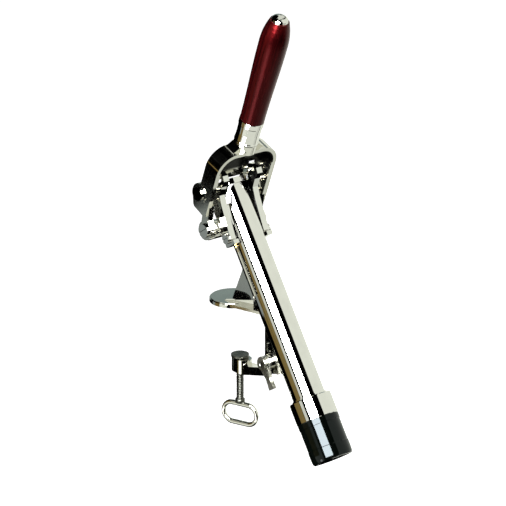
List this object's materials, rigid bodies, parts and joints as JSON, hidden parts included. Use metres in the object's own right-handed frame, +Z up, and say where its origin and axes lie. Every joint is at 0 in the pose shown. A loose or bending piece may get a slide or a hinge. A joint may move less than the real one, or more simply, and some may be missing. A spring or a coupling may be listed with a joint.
{
  "type": "lever corkscrew",
  "caption": "Table-clamp lever corkscrew: leaning chrome barrel with black bottle bell, forked lever with a dark red wood grip, and a screw clamp.",
  "frame": {"origin": "centre of the upper jaw's flat underside, which rests on the table top", "axes": "+Z up, square to the table top; -Y towards the user, where the bottle bell is; +X to the right seen from the front. The object is symmetric about X=0 but for the thumb lever, the jaw stud and the turned screw ring."},
  "size_m": [0.086, 0.2106, 0.4752],
  "materials": {
    "chrome": "polished",
    "bell_black": "gloss",
    "rosewood": "gloss lacquer",
    "steel": "satin",
    "dark_steel": "satin",
    "brass": "satin",
    "rubber": "matte",
    "nylon": "matte"
  },
  "bodies": {
    "barrel": {"barrel_tube": "chrome", "lower_collar": "chrome", "bottle_bell": "bell_black", "neck_seal": "rubber", "neck_stop": "nylon", "guide_nut": "brass", "nut_ring": "steel", "rear_bracket": "chrome", "bracket_screws": "steel", "pivot_bolts": "chrome", "pivot_nuts": "steel", "clamp_frame": "chrome"},
    "lever": {"lever_yoke": "chrome", "drive_pins": "chrome", "handle_ferrule": "chrome", "handle_rod": "steel", "wood_grip": "rosewood", "end_cap": "chrome"},
    "crosshead": {"carriage": "brass", "thrust_washers": "steel", "crosshead_plate_left": "chrome", "crosshead_plate_right": "chrome", "crosshead_bridge": "chrome", "cross_studs": "chrome"},
    "worm_spindle": {"spindle": "steel", "worm": "steel", "spindle_nut": "steel"},
    "jaw": {"lower_jaw": "chrome", "jaw_stud": "steel", "stud_washer": "steel"},
    "thumb": {"thumb_lever": "chrome"},
    "pad": {"pressure_pad": "dark_steel"},
    "screw": {"clamp_screw": "dark_steel", "screw_ring": "chrome"}
  },
  "joints": [
    {"name": "lever_pull", "type": "hinge", "parent": "barrel", "child": "lever", "pos_m": [0, -0.00005, 0.08738], "axis": [1, 0, 0], "range_deg": [0, 92]},
    {"name": "carriage_slide", "type": "slide", "parent": "barrel", "child": "crosshead", "axis": [0, -0.565, -0.8251], "range_m": [0, 0.0612]},
    {"name": "worm_turn", "type": "hinge", "parent": "crosshead", "child": "worm_spindle", "pos_m": [0, -0.129, -0.0712], "axis": [0, -0.565, -0.8251], "range_deg": [0, 2160]},
    {"name": "jaw_slide", "type": "slide", "parent": "barrel", "child": "jaw", "axis": [0, 0, 1], "range_m": [0, 0.018]},
    {"name": "thumb_turn", "type": "hinge", "parent": "jaw", "child": "thumb", "pos_m": [-0.0072, -0.0654, -0.0501], "axis": [1, 0, 0], "range_deg": [-20, 160]},
    {"name": "pad_slide", "type": "slide", "parent": "jaw", "child": "pad", "axis": [0, 0, 1], "range_m": [0, 0.03]},
    {"name": "screw_turn", "type": "hinge", "parent": "pad", "child": "screw", "pos_m": [0, -0.0126, -0.09], "axis": [0, 0, 1], "range_deg": [0, 5400]}
  ],
  "couplings": [
    {"joint": "carriage_slide", "follows": "lever_pull", "m_per_rad": 0.038102},
    {"joint": "worm_turn", "follows": "lever_pull", "ratio": 23.471},
    {"joint": "screw_turn", "follows": "pad_slide", "rad_per_m": 3141.6}
  ]
}
